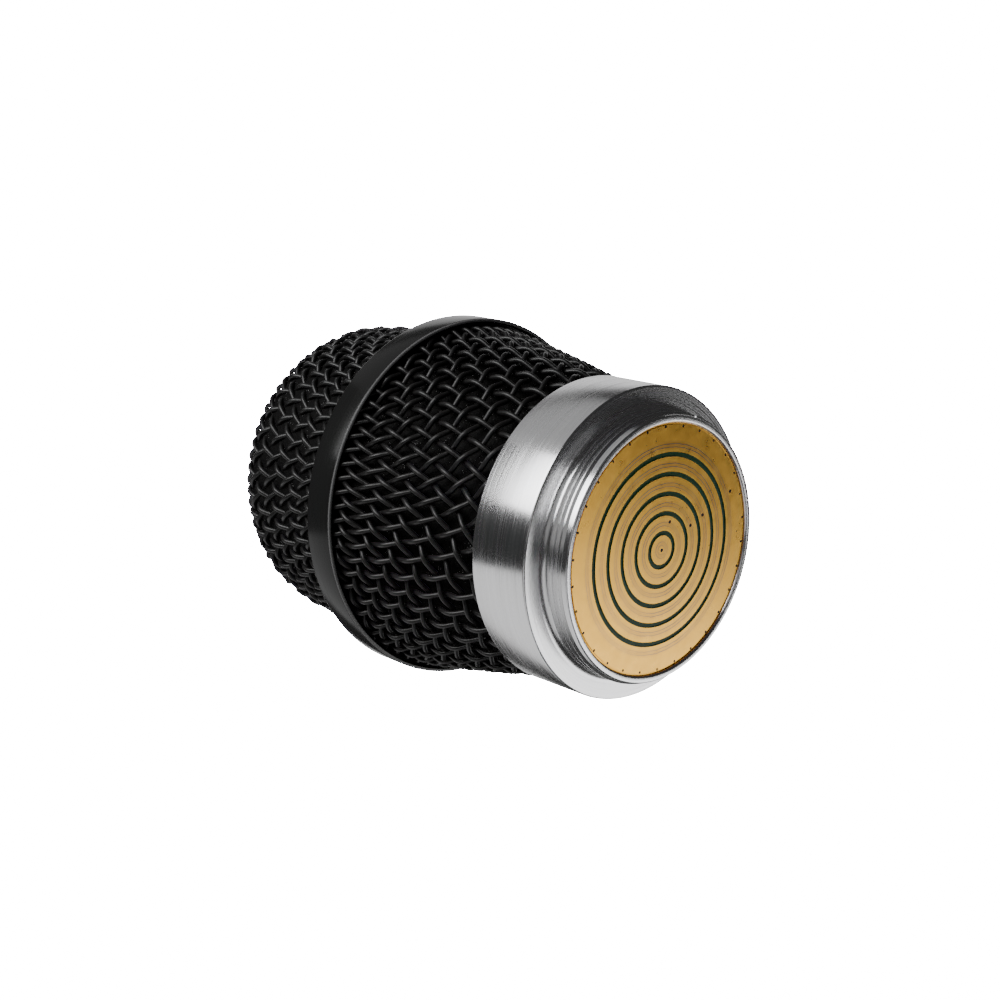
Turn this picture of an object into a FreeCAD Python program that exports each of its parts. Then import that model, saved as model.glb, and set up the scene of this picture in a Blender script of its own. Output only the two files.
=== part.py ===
import FreeCAD, Part
import Sketcher
import math
import os

# A screw-on condenser microphone head. The axis is +Z, the end face of the threaded
# collar is at z = 0 and the dome is on top. Lengths are millimetres, angles degrees.

SIZES = {
    # collar, turned from one piece; its radii step in from its outside
    "collar_radius": 18.5,
    "collar_rear": 12.0,
    "collar_chamfer": 0.2,
    "shoulder_width": 2.625,
    "shoulder_height": 3.6,
    "thread_relief": 0.275,
    "thread_end": 2.6,
    "rim_step": 0.425,
    "lead_in": 0.4,
    "neck_fillet": 0.9,
    "mouth_chamfer": 0.2,
    "collar_lip": 0.3,
    "slot_depth": 1.5,
    "ledge_depth": 1.1,
    # contact board with its ring contacts
    "board_inset": 1.175,
    "board_seat": 1.7,
    "board_play": 0.05,
    "board_front": 0.4,
    "board_thickness": 1.6,
    "contact_thickness": 0.1,
    "contact_margin": 0.2,
    "first_gap_radius": 2.0,
    "gap_width": 0.45,
    # woven barrel below the band
    "wall_thickness": 1.2,
    "foot_set": 0.75,
    "foot_play": 0.2,
    "barrel_bulge": 0.25,
    "barrel_columns": 39,
    "barrel_rows": 10,
    # band; its inner radii step in from its outside
    "band_radius": 22.9,
    "band_front": 32.6,
    "band_rear": 36.9,
    "band_chamfer": 0.3,
    "band_lip": 0.45,
    "web_width": 4.5,
    "web_depth": 1.6,
    "web_thickness": 1.2,
    # woven dome above the band
    "dome_set": 1.9,
    "dome_play": 0.1,
    "dome_taper": 3.8,
    "dome_rise": 16.0,
    "dome_corner_radius": 10.3,
    "dome_turn": 74.0,
    "dome_columns": 36,
    "dome_cap_radius": 6.5,
    "row_step": 0.13,
    "gap_share": 0.62,
    "dimple_depth": 0.8,
    "gap_levels": 10,
    # foam liners
    "foam_thickness": 1.2,
    "foam_play": 0.1,
    "facet_play": 0.15,
    # amplifier board and what it carries
    "amplifier_play": 0.4,
    "amplifier_thickness": 1.2,
    "spacer_height": 4.0,
    "spacer_radius": 1.6,
    "spacer_inset": 2.1,
    "screw_radius": 0.8,
    "screw_play": 0.05,
    "head_height": 1.1,
    "head_radius": 1.3,
    "pin_pitch": 2.54,
    "pin_side": 0.64,
    "pin_hole": 0.5,
    "pin_line": 5.0,
    "pin_reach": 6.4,
    "header_height": 2.5,
    # pedestal
    "pedestal_base": 1.4,
    "pedestal_play": 0.15,
    "stem_inset": 2.4,
    "stem_narrowing": 1.5,
    "pedestal_top": 26.4,
    "pedestal_wall": 1.4,
    "pedestal_screw_set": 1.2,
    "blind_depth": 3.6,
    "lead_hole": 2.6,
    # capsule
    "mount_wall": 1.3,
    "mount_floor": 1.8,
    "mount_height": 6.6,
    "housing_radius": 10.5,
    "housing_height": 12.0,
    "housing_floor": 1.2,
    "housing_wall": 0.9,
    "plate_play": 0.1,
    "insulator_wall": 2.5,
    "insulator_height": 5.6,
    "plate_thickness": 1.6,
    "ring_width": 1.2,
    "spacer_film": 0.15,
    "diaphragm_film": 0.06,
    "ring_height": 1.2,
    "grid_thickness": 0.8,
    "retainer_height": 1.0,
    "terminal_radius": 0.6,
    "terminal_drop": 0.4,
    "bush_radius": 1.26,
    "bush_flange": 0.95,
    "lead_radius": 0.4,
    "lead_bend_share": 0.2,
    "signal_pad": 5.4,
    "ground_pad": 5.6,
    "backplate_hole": 0.4,
    "grid_hole": 0.7,
    # components on the amplifier board
    "can_radius": 2.4,
    "can_height": 4.3,
    "can_line": 1.8,
    "capacitor_length": 7.2,
    "capacitor_width": 2.5,
    "capacitor_height": 6.5,
    "capacitor_line": 6.9,
    "resistor_radius": 1.15,
    "resistor_length": 6.4,
    "resistor_line": 2.2,
}


class Size:
    """A size that knows its value and the sheet expression that gives it."""

    def __init__(self, value, text):
        self.value = value
        self.text = text

    def __add__(self, other):
        other = as_size(other)
        return Size(self.value + other.value, f"({self.text} + {other.text})")

    def __sub__(self, other):
        other = as_size(other)
        return Size(self.value - other.value, f"({self.text} - {other.text})")

    def __mul__(self, other):
        other = as_size(other)
        return Size(self.value * other.value, f"{self.text} * {other.text}")

    def __truediv__(self, other):
        other = as_size(other)
        return Size(self.value / other.value, f"{self.text} / {other.text}")

    def __neg__(self):
        return Size(-self.value, f"(0 - {self.text})")


def as_size(value):
    if isinstance(value, Size):
        return value
    return Size(float(value), f"{value:g}")


def cosine(angle):
    return Size(math.cos(math.radians(angle.value)), f"cos({angle.text})")


def sine(angle):
    return Size(math.sin(math.radians(angle.value)), f"sin({angle.text})")


class Arc:
    """Joins two corners of an outline by an arc; turn is 1 counter-clockwise, -1 clockwise."""

    def __init__(self, radius, turn):
        self.radius = as_size(radius)
        self.turn = turn


doc = FreeCAD.newDocument("microphone_head")
sheet = doc.addObject("Spreadsheet::Sheet", "sizes")
for row, (alias, number) in enumerate(SIZES.items(), start=1):
    sheet.set(f"A{row}", alias)
    sheet.set(f"B{row}", str(number))
    sheet.setAlias(f"B{row}", alias)
doc.recompute()


def size(alias):
    return Size(float(getattr(sheet, alias)), f"sizes.{alias}")


def new_body(label):
    body = doc.addObject("PartDesign::Body", label)
    body.Label = label
    return body


def new_sketch(body, name, role, height=None):
    """A sketch on one of the body's own origin planes, lifted along its normal."""
    sketch = body.newObject("Sketcher::SketchObject", name)
    plane = [f for f in body.Origin.OriginFeatures if f.Role == role][0]
    sketch.AttachmentSupport = [(plane, "")]
    sketch.MapMode = "FlatFace"
    if height is not None:
        sketch.AttachmentOffset = FreeCAD.Placement(
            FreeCAD.Vector(0, 0, height.value), FreeCAD.Rotation()
        )
        sketch.setExpression("AttachmentOffset.Base.z", height.text)
    return sketch


def bind(sketch, constraint, text):
    index = sketch.addConstraint(constraint)
    sketch.setExpression(f"Constraints[{index}]", text)


def place_point(sketch, shape, end, x, y):
    """Dimension one point of a sketch from the origin, on the side that its sign says."""
    for kind, axis, distance in (("DistanceX", -2, x), ("DistanceY", -1, y)):
        if abs(distance.value) < 1e-9:
            sketch.addConstraint(Sketcher.Constraint("PointOnObject", shape, end, axis))
        elif distance.value > 0:
            bind(sketch, Sketcher.Constraint(kind, -1, 1, shape, end, distance.value), distance.text)
        else:
            away = -distance
            bind(sketch, Sketcher.Constraint(kind, shape, end, -1, 1, away.value), away.text)


def arc_between(start, end, radius, turn):
    """The arc of a given radius from start to end, shorter than half a circle."""
    chord = end.sub(start)
    middle = start.add(chord * 0.5)
    rise = math.sqrt(max(radius**2 - (chord.Length / 2) ** 2, 0.0))
    across = FreeCAD.Vector(-chord.y, chord.x, 0).normalize()
    centre = middle.add(across * (rise * turn))
    first, last = (start, end) if turn > 0 else (end, start)
    circle = Part.Circle(centre, FreeCAD.Vector(0, 0, 1), radius)
    return Part.ArcOfCircle(circle, circle.parameter(first), circle.parameter(last))


def draw_outline(sketch, path):
    """A closed outline of corners (x, y), with an Arc between two corners where it is round."""
    corners, arcs = [], {}
    for item in path:
        if isinstance(item, Arc):
            arcs[len(corners) - 1] = item
        else:
            corners.append((as_size(item[0]), as_size(item[1])))
    points = [FreeCAD.Vector(x.value, y.value, 0) for x, y in corners]
    count = len(points)
    for i in range(count):
        after = points[(i + 1) % count]
        if i in arcs:
            sketch.addGeometry(arc_between(points[i], after, arcs[i].radius.value, arcs[i].turn))
        else:
            sketch.addGeometry(Part.LineSegment(points[i], after))
    starts = [2 if i in arcs and arcs[i].turn < 0 else 1 for i in range(count)]
    for i in range(count):
        after = (i + 1) % count
        sketch.addConstraint(
            Sketcher.Constraint("Coincident", i, 3 - starts[i], after, starts[after])
        )
    for i, (x, y) in enumerate(corners):
        place_point(sketch, i, starts[i], x, y)
    for i, arc in arcs.items():
        bind(sketch, Sketcher.Constraint("Radius", i, arc.radius.value), arc.radius.text)


def revolve(body, name, path):
    """Turn an outline of (radius, height) corners about the body's Z axis."""
    sketch = new_sketch(body, name + "_profile", "XZ_Plane")
    draw_outline(sketch, path)
    turned = body.newObject("PartDesign::Revolution", name)
    turned.Profile = sketch
    turned.ReferenceAxis = (sketch, ["V_Axis"])
    turned.Angle = 360
    doc.recompute()
    return turned


def turned_piece(label, path):
    body = new_body(label)
    revolve(body, label + "_turning", path)
    return body


def flat_ring(label, inner, outer, bottom, height):
    """A flat ring, or a disc where there is no inner radius."""
    body = new_body(label)
    sketch = new_sketch(body, label + "_profile", "XY_Plane", bottom)
    radii = [outer] if inner is None else [outer, inner]
    for index, radius in enumerate(radii):
        circle = Part.Circle(FreeCAD.Vector(0, 0, 0), FreeCAD.Vector(0, 0, 1), radius.value)
        sketch.addGeometry(circle)
        sketch.addConstraint(Sketcher.Constraint("Coincident", index, 3, -1, 1))
        bind(sketch, Sketcher.Constraint("Radius", index, radius.value), radius.text)
    pad = body.newObject("PartDesign::Pad", label + "_pad")
    pad.Profile = sketch
    pad.Length = height.value
    pad.setExpression("Length", height.text)
    doc.recompute()
    return body


def drill(body, name, top, depth, radius, places):
    """Cut round holes downwards from a height, at places (x, y), and prove that they cut."""
    before = body.Shape.Volume
    sketch = new_sketch(body, name + "_circles", "XY_Plane", top)
    for index, (x, y) in enumerate(places):
        centre = FreeCAD.Vector(x.value, y.value, 0)
        sketch.addGeometry(Part.Circle(centre, FreeCAD.Vector(0, 0, 1), radius.value))
        place_point(sketch, index, 3, x, y)
        bind(sketch, Sketcher.Constraint("Radius", index, radius.value), radius.text)
    pocket = body.newObject("PartDesign::Pocket", name)
    pocket.Profile = sketch
    pocket.Length = depth.value
    pocket.setExpression("Length", depth.text)
    doc.recompute()
    if body.Shape.Volume >= before:
        raise RuntimeError(name + " cuts nothing")
    return pocket


def round_pattern(body, feature, count):
    """Repeat a feature round the body's Z axis."""
    before = body.Shape.Volume
    axis = [f for f in body.Origin.OriginFeatures if f.Role == "Z_Axis"][0]
    pattern = body.newObject("PartDesign::PolarPattern", feature.Name + "_round")
    pattern.Originals = [feature]
    pattern.Axis = (axis, [""])
    pattern.Angle = 360
    pattern.Occurrences = count
    body.Tip = pattern
    doc.recompute()
    if body.Shape.Volume >= before:
        raise RuntimeError(feature.Name + " repeats nothing")


def drill_ring(body, name, top, depth, radius, ring, count):
    """Cut a ring of equal holes, the first one on the body's X axis."""
    pocket = drill(body, name, top, depth, radius, [(ring, as_size(0))])
    round_pattern(body, pocket, count)


def plain_block(label, corner, spans):
    """A rectangular block from its lowest corner and its three spans."""
    block = doc.addObject("Part::Box", label)
    block.Label = label
    for name, span in zip(("Length", "Width", "Height"), spans):
        setattr(block, name, span.value)
        block.setExpression(name, span.text)
    set_place(block, corner)
    return block


def plain_cylinder(label, radius, height, place, axis=FreeCAD.Vector(0, 0, 1)):
    cylinder = doc.addObject("Part::Cylinder", label)
    cylinder.Label = label
    cylinder.Radius = radius.value
    cylinder.setExpression("Radius", radius.text)
    cylinder.Height = height.value
    cylinder.setExpression("Height", height.text)
    cylinder.Placement.Rotation = FreeCAD.Rotation(FreeCAD.Vector(0, 0, 1), axis)
    set_place(cylinder, place)
    return cylinder


def set_place(thing, place):
    rotation = thing.Placement.Rotation
    base = FreeCAD.Vector(*[as_size(value).value for value in place])
    thing.Placement = FreeCAD.Placement(base, rotation)
    for name, value in zip("xyz", place):
        thing.setExpression("Placement.Base." + name, as_size(value).text)


def group(label, things):
    """Several equal separate solids that share one node."""
    together = doc.addObject("Part::Compound", label)
    together.Label = label
    together.Links = things
    doc.recompute()
    return together


def ring_places(ring, count, first_angle):
    """Places on a circle, as sizes, from a first angle on."""
    places = []
    for index in range(count):
        angle = as_size(first_angle + 360 / count * index)
        places.append((ring * cosine(angle), ring * sine(angle)))
    return places


def socket_screw(label, x, y, head_bottom, shank_length):
    """A cap screw that points down, with a hexagon socket in its head."""
    shank_radius = size("screw_radius") - size("screw_play")
    head = plain_cylinder(label + "_head", size("head_radius"), size("head_height"), (x, y, head_bottom))
    shank = plain_cylinder(label + "_shank", shank_radius, shank_length, (x, y, head_bottom - shank_length))
    blank = doc.addObject("Part::Fuse", label + "_blank")
    blank.Base = head
    blank.Tool = shank
    socket = doc.addObject("Part::Prism", label + "_socket")
    socket.Polygon = 6
    socket.setExpression("Circumradius", (size("head_radius") * SOCKET_SHARE).text)
    socket.setExpression("Height", size("head_height").text)
    set_place(socket, (x, y, head_bottom + size("head_height") * SOCKET_SHARE))
    screw = doc.addObject("Part::Cut", label)
    screw.Base = blank
    screw.Tool = socket
    return screw


SCREW_COUNT = 3
PEDESTAL_SCREW_ANGLE = 0
SPACER_ANGLE = 60
PIN_COUNT = 6
GAP_COUNT = 5
OUTER_RING_SHARE = 1.5
SCREW_BITE = 0.75
SOCKET_SHARE = 0.55
VENT_COUNT = 6
VENT_RING = 0.55
BACKPLATE_HOLES = (("inner", 0.3, 6), ("outer", 0.6, 12))
GRID_HOLES = (("inner", 0.27, 6), ("outer", 0.58, 12))
MESH_TO_GAP = 3

# collar radii and levels, and the board that it holds
thread_radius = size("collar_radius") - size("shoulder_width")
neck_radius = thread_radius - size("thread_relief")
board_radius = thread_radius - size("board_inset")
board_rear = size("board_front") + size("board_thickness")
contact_edge = board_radius - size("contact_margin")
gap_pitch = (contact_edge - size("first_gap_radius")) / (GAP_COUNT - 1 + OUTER_RING_SHARE)
bore_radius = board_radius - size("board_seat")
slot_floor = size("collar_rear") - size("slot_depth")
ledge_height = slot_floor - size("ledge_depth")
foot_radius = size("collar_radius") - size("foot_set")
ledge_radius = foot_radius - size("wall_thickness") - size("foot_play")

# band and dome
barrel_seat_radius = size("band_radius") - size("band_lip")
web_bottom = size("band_front") + size("web_depth")
web_top = web_bottom + size("web_thickness")
dome_side_radius = size("band_radius") - size("dome_set")

# amplifier board and pedestal
amplifier_radius = bore_radius - size("amplifier_play")
amplifier_bottom = board_rear + size("spacer_height")
amplifier_top = amplifier_bottom + size("amplifier_thickness")
spacer_ring = amplifier_radius - size("spacer_inset")
pedestal_edge = ledge_radius - size("pedestal_play")
pedestal_base_top = ledge_height + size("pedestal_base")
pedestal_screw_ring = bore_radius + size("pedestal_screw_set")

# capsule
housing_bore = size("housing_radius") - size("housing_wall")
plate_radius = housing_bore - size("plate_play")
ring_bore = plate_radius - size("ring_width")
housing_bottom = size("pedestal_top") + size("mount_floor")
stack_bottom = housing_bottom + size("housing_floor")
plate_bottom = stack_bottom + size("insulator_height")
plate_top = plate_bottom + size("plate_thickness")
film_bottom = plate_top + size("spacer_film")
ring_bottom = film_bottom + size("diaphragm_film")
grid_bottom = ring_bottom + size("ring_height")
grid_top = grid_bottom + size("grid_thickness")
terminal_bottom = size("pedestal_top") - size("terminal_drop")


def make_collar():
    fillet = size("neck_fillet")
    shoulder = size("shoulder_height")
    outside = size("collar_radius")
    rear = size("collar_rear")
    chamfer = size("collar_chamfer")
    slot_outer = outside - size("collar_lip")
    board_pocket = board_radius + size("board_play")
    collar = turned_piece("collar", [
        (board_pocket + size("mouth_chamfer"), 0),
        (thread_radius - size("rim_step"), 0),
        (thread_radius, size("lead_in")),
        (thread_radius, size("thread_end") - size("thread_relief")),
        (neck_radius, size("thread_end")),
        (neck_radius, shoulder - fillet),
        Arc(fillet, -1),
        (neck_radius + fillet, shoulder),
        (outside - chamfer, shoulder),
        (outside, shoulder + chamfer),
        (outside, rear - chamfer),
        (outside - chamfer, rear),
        (slot_outer, rear),
        (slot_outer, slot_floor),
        (ledge_radius, slot_floor),
        (ledge_radius, ledge_height),
        (bore_radius, ledge_height),
        (bore_radius, board_rear),
        (board_pocket, board_rear),
        (board_pocket, size("mouth_chamfer")),
    ])
    drill_ring(collar, "collar_screw_hole", ledge_height, size("blind_depth"),
               size("screw_radius"), pedestal_screw_ring, SCREW_COUNT)


def make_contact_board():
    flat_ring("contact_board", None, board_radius, size("board_front"), size("board_thickness"))


def make_contacts():
    """A round contact in the middle and five ring contacts, with equal gaps between them."""
    thickness = size("contact_thickness")
    bottom = size("board_front") - thickness
    half_gap = size("gap_width") / 2
    gaps = [size("first_gap_radius") + gap_pitch * index for index in range(GAP_COUNT)]
    flat_ring("centre_contact", None, gaps[0] - half_gap, bottom, thickness)
    edges = gaps[1:] + [contact_edge + half_gap]
    for index, (gap, after) in enumerate(zip(gaps, edges), start=1):
        flat_ring(f"contact_ring_{index}", gap + half_gap, after - half_gap, bottom, thickness)


def make_band():
    outside = size("band_radius")
    front = size("band_front")
    rear = size("band_rear")
    chamfer = size("band_chamfer")
    bore = outside - size("web_width")
    dome_seat = dome_side_radius + size("dome_play")
    turned_piece("band", [
        (barrel_seat_radius, front),
        (outside - chamfer, front),
        (outside, front + chamfer),
        (outside, rear - chamfer),
        (outside - chamfer, rear),
        (dome_seat, rear),
        (dome_seat, web_top),
        (bore, web_top),
        (bore, web_bottom),
        (barrel_seat_radius, web_bottom),
    ])


def barrel_profile():
    """Crest radius and height along the barrel, from 0 at its foot to 1 in the band."""
    first_radius = foot_radius.value
    last_radius = barrel_seat_radius.value - size("foam_play").value / 2
    foot = slot_floor.value
    top = web_bottom.value
    bulge = size("barrel_bulge").value

    def point(share):
        height = foot + (top - foot) * share
        radius = first_radius + (last_radius - first_radius) * share + bulge * 4 * share * (1 - share)
        return radius, height

    return point


def dome_sizes(inset):
    """The dome's section at an inset: a tapered side, a corner arc and a top arc, all tangent."""
    taper = size("dome_taper")
    turn = size("dome_turn")
    corner = size("dome_corner_radius")
    rise = size("dome_rise")
    centre = dome_side_radius - rise * sine(taper) / cosine(taper) - corner * cosine(taper)
    level = web_top + rise - corner * sine(taper)
    return {
        "foot_radius": dome_side_radius - inset / cosine(taper),
        "centre": centre,
        "level": level,
        "corner": corner - inset,
        "top_radius": corner + centre / cosine(turn) - inset,
        "top_level": level - centre * sine(turn) / cosine(turn),
    }


def dome_profile():
    """Crest radius and height along the dome by distance from its foot, and its whole length."""
    section = {name: part.value for name, part in dome_sizes(as_size(0)).items()}
    foot = web_top.value
    taper = math.radians(size("dome_taper").value)
    turn = math.radians(size("dome_turn").value)
    side_length = size("dome_rise").value / math.cos(taper)
    corner_length = section["corner"] * (turn - taper)
    top_length = section["top_radius"] * (math.pi / 2 - turn)

    def on_arc(centre, level, radius, angle):
        return centre + radius * math.cos(angle), level + radius * math.sin(angle)

    def point(distance):
        if distance < side_length:
            radius = section["foot_radius"] - distance * math.sin(taper)
            return radius, foot + distance * math.cos(taper)
        past_side = distance - side_length
        if past_side < corner_length:
            angle = taper + past_side / section["corner"]
            return on_arc(section["centre"], section["level"], section["corner"], angle)
        angle = turn + (past_side - corner_length) / section["top_radius"]
        return on_arc(0, section["top_level"], section["top_radius"], angle)

    return point, side_length + corner_length + top_length


def crossing_rings(levels, columns, inset):
    """Rings of wire crossings; every second ring is turned by half a step."""
    rings = []
    for index, (radius, height, lean) in enumerate(levels):
        rings.append([])
        for column in range(columns):
            angle = 2 * math.pi * (column + 0.5 * (index % 2)) / columns
            out = radius - inset * math.cos(lean)
            up = height - inset * math.sin(lean)
            rings[-1].append(FreeCAD.Vector(out * math.cos(angle), out * math.sin(angle), up))
    return rings


def with_lean(points):
    """Add to each (radius, height) the wall normal's angle above the horizontal; both ends are flat."""
    leaned = []
    for index, (radius, height) in enumerate(points):
        if index in (0, len(points) - 1):
            leaned.append((radius, height, 0.0))
            continue
        before = points[index - 1]
        after = points[index + 1]
        lean = math.atan2(before[0] - after[0], after[1] - before[1])
        leaned.append((radius, height, lean))
    return leaned


def woven_wall(label, points, columns, gap_levels, closed_top):
    """A ridged wall: ridges run along both diagonals, and every third mesh is an open gap."""
    levels = with_lean(points)
    if closed_top:
        apex_height = levels.pop()[1]
    outer = crossing_rings(levels, columns, 0)
    inner = crossing_rings(levels, columns, size("wall_thickness").value)
    facets = []

    def add(*corners):
        for index in range(1, len(corners) - 1):
            facets.append((corners[0], corners[index], corners[index + 1]))

    def mesh_corners(ring, level, column):
        shift = column + level % 2
        left = ring[level][column]
        right = ring[level][(column + 1) % columns]
        return left, ring[level - 1][shift % columns], right, ring[level + 1][shift % columns]

    for level in range(1, len(levels) - 1):
        for column in range(columns):
            out = mesh_corners(outer, level, column)
            inside = mesh_corners(inner, level, column)
            open_gap = level <= gap_levels and (column + level // 2) % MESH_TO_GAP == 0
            centre = sum_of(inside) * 0.25
            if open_gap:
                share = size("gap_share").value
                small = [centre + (corner - centre) * share for corner in inside]
                for a in range(4):
                    b = (a + 1) % 4
                    add(out[a], out[b], small[b], small[a])
                    add(inside[b], inside[a], small[a], small[b])
            else:
                middle = sum_of(out) * 0.25
                inward = (centre - middle).normalize()
                dimple = middle + inward * size("dimple_depth").value
                for a in range(4):
                    add(out[a], out[(a + 1) % 4], dimple)
                add(inside[2], inside[1], inside[0])
                add(inside[0], inside[3], inside[2])

    last = len(levels) - 1
    for column in range(columns):
        after = (column + 1) % columns
        add(outer[0][column], outer[0][after], outer[1][column])
        add(inner[0][after], inner[0][column], inner[1][column])
        add(outer[0][after], outer[0][column], inner[0][column], inner[0][after])
        below = (column + last % 2) % columns
        add(outer[last][after], outer[last][column], outer[last - 1][below])
        add(inner[last][column], inner[last][after], inner[last - 1][below])
        if closed_top:
            apex = FreeCAD.Vector(0, 0, apex_height)
            under = FreeCAD.Vector(0, 0, apex_height - size("wall_thickness").value)
            add(outer[last][column], outer[last][after], apex)
            add(inner[last][after], inner[last][column], under)
        else:
            add(outer[last][column], outer[last][after], inner[last][after], inner[last][column])

    faces = [Part.Face(Part.makePolygon(list(facet) + [facet[0]])) for facet in facets]
    shell = Part.Compound(faces)
    shell.sewShape()
    solid = Part.Solid(shell.Shells[0])
    if solid.Volume < 0:
        solid.reverse()
    wall = doc.addObject("Part::Feature", label)
    wall.Label = label
    wall.Shape = solid
    return wall


def sum_of(vectors):
    total = FreeCAD.Vector(0, 0, 0)
    for vector in vectors:
        total = total + vector
    return total


def make_lower_grille():
    point = barrel_profile()
    rows = int(size("barrel_rows").value)
    points = [point(row / rows) for row in range(rows + 1)]
    columns = int(size("barrel_columns").value)
    woven_wall("lower_grille", points, columns, rows - 1, False)


def make_upper_grille():
    """Rows get closer as the dome narrows, so that the meshes keep their proportions."""
    point, length = dome_profile()
    step = size("row_step").value
    cap = size("dome_cap_radius").value
    points = [point(0)]
    distance = 0
    while points[-1][0] > cap:
        distance += step * points[-1][0]
        points.append(point(distance))
    points.append(point(length))
    columns = int(size("dome_columns").value)
    woven_wall("upper_grille", points, columns, int(size("gap_levels").value), True)


def make_lower_foam():
    """A tapered sleeve from the pedestal's base up to the band's web."""
    thickness = size("foam_thickness")
    top = barrel_seat_radius - size("wall_thickness") - size("foam_play") * 2
    turned_piece("lower_foam", [
        (pedestal_edge - thickness / 2, pedestal_base_top),
        (pedestal_edge, pedestal_base_top),
        (top, web_bottom),
        (top - thickness, web_bottom),
    ])


def make_upper_foam():
    """A thin foam cup inside the dome, standing on the band's web."""
    slack = size("wall_thickness") + size("foam_play") + size("facet_play")
    outer = dome_sizes(slack)
    inner = dome_sizes(slack + size("foam_thickness"))

    def corner_end(section, angle):
        radius = section["centre"] + section["corner"] * cosine(angle)
        return radius, section["level"] + section["corner"] * sine(angle)

    taper = size("dome_taper")
    turn = size("dome_turn")
    turned_piece("upper_foam", [
        (outer["foot_radius"], web_top),
        corner_end(outer, taper),
        Arc(outer["corner"], 1),
        corner_end(outer, turn),
        Arc(outer["top_radius"], 1),
        (0, outer["top_level"] + outer["top_radius"]),
        (0, inner["top_level"] + inner["top_radius"]),
        Arc(inner["top_radius"], -1),
        corner_end(inner, turn),
        Arc(inner["corner"], -1),
        corner_end(inner, taper),
        (inner["foot_radius"], web_top),
    ])


def make_pin_header():
    """A plastic block with a row of six square pins through it."""
    pitch = size("pin_pitch")
    side = size("pin_side")
    line = size("pin_line")
    half = side / 2
    block = plain_block("header_block", (-(pitch * PIN_COUNT / 2), line - pitch / 2, board_rear),
                        (pitch * PIN_COUNT, pitch, size("header_height")))
    pins, holes = [], []
    for index in range(PIN_COUNT):
        x = pitch * (index - (PIN_COUNT - 1) / 2)
        corner = (x - half, line - half, board_rear)
        pins.append(plain_block(f"header_pin_{index}", corner, (side, side, size("pin_reach"))))
        hole_height = size("header_height")
        holes.append(plain_block(f"header_hole_{index}", corner, (side, side, hole_height)))
    group("header_pins", pins)
    tools = doc.addObject("Part::MultiFuse", "header_holes")
    tools.Shapes = holes
    header = doc.addObject("Part::Cut", "pin_header")
    header.Base = block
    header.Tool = tools
    doc.recompute()


def make_board_spacers():
    tubes = []
    for index, (x, y) in enumerate(ring_places(spacer_ring, SCREW_COUNT, SPACER_ANGLE)):
        place = (x, y, board_rear)
        height = size("spacer_height")
        outside = plain_cylinder(f"spacer_outside_{index}", size("spacer_radius"), height, place)
        bore = plain_cylinder(f"spacer_bore_{index}", size("screw_radius"), height, place)
        tube = doc.addObject("Part::Cut", f"spacer_tube_{index}")
        tube.Base = outside
        tube.Tool = bore
        tubes.append(tube)
    group("board_spacers", tubes)


def make_screws():
    """Three screws hold the amplifier board, and three hold the pedestal to the collar's ledge."""
    board_length = size("amplifier_thickness") + size("spacer_height") * SCREW_BITE
    base_length = size("pedestal_base") + size("blind_depth") * SCREW_BITE
    sets = (
        ("board_screws", spacer_ring, SPACER_ANGLE, amplifier_top, board_length),
        ("pedestal_screws", pedestal_screw_ring, PEDESTAL_SCREW_ANGLE, pedestal_base_top, base_length),
    )
    for label, ring, angle, seat, length in sets:
        screws = []
        for index, (x, y) in enumerate(ring_places(ring, SCREW_COUNT, angle)):
            screws.append(socket_screw(f"{label}_{index}", x, y, seat, length))
        group(label, screws)


def make_amplifier_board():
    board = flat_ring("amplifier_board", None, amplifier_radius, amplifier_bottom,
                      size("amplifier_thickness"))
    clear = size("screw_radius") + size("screw_play") * 2
    drill(board, "amplifier_screw_holes", amplifier_top, size("amplifier_thickness"), clear,
          ring_places(spacer_ring, SCREW_COUNT, SPACER_ANGLE))
    pitch = size("pin_pitch")
    places = [(pitch * (index - (PIN_COUNT - 1) / 2), size("pin_line")) for index in range(PIN_COUNT)]
    drill(board, "amplifier_pin_holes", amplifier_top, size("amplifier_thickness"),
          size("pin_hole"), places)


def make_components():
    """What the amplifier board carries on its upper side."""
    plain_cylinder("field_effect_transistor", size("can_radius"), size("can_height"),
                   (0, -size("can_line"), amplifier_top))
    length = size("capacitor_length")
    plain_block("coupling_capacitor", (-(length / 2), -size("capacitor_line"), amplifier_top),
                (length, size("capacitor_width"), size("capacitor_height")))
    radius = size("resistor_radius")
    length = size("resistor_length")
    plain_cylinder("bias_resistor", radius, length,
                   (-(length / 2), size("resistor_line"), amplifier_top + radius),
                   FreeCAD.Vector(1, 0, 0))


def make_pedestal():
    """A hollow stem with a screwed base, which carries the capsule inside the dome."""
    wall = size("pedestal_wall")
    foot = bore_radius - size("stem_inset")
    top = size("pedestal_top")
    top_radius = size("housing_radius") - size("stem_narrowing")
    pedestal = turned_piece("pedestal", [
        (foot - wall, ledge_height),
        (pedestal_edge, ledge_height),
        (pedestal_edge, pedestal_base_top),
        (foot, pedestal_base_top),
        (top_radius, top),
        (size("lead_hole"), top),
        (size("lead_hole"), top - wall),
        (top_radius - wall, top - wall),
    ])
    drill_ring(pedestal, "pedestal_hole", pedestal_base_top, size("pedestal_base"),
               size("screw_radius") + size("screw_play") * 2, pedestal_screw_ring, SCREW_COUNT)


def make_shock_mount():
    """A soft cup round the foot of the capsule housing."""
    outside = size("housing_radius") + size("mount_wall")
    inner = size("housing_radius") + size("board_play")
    bottom = size("pedestal_top")
    turned_piece("shock_mount", [
        (size("lead_hole"), bottom),
        (outside, bottom),
        (outside, bottom + size("mount_height")),
        (inner, bottom + size("mount_height")),
        (inner, housing_bottom),
        (size("lead_hole"), housing_bottom),
    ])


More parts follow.
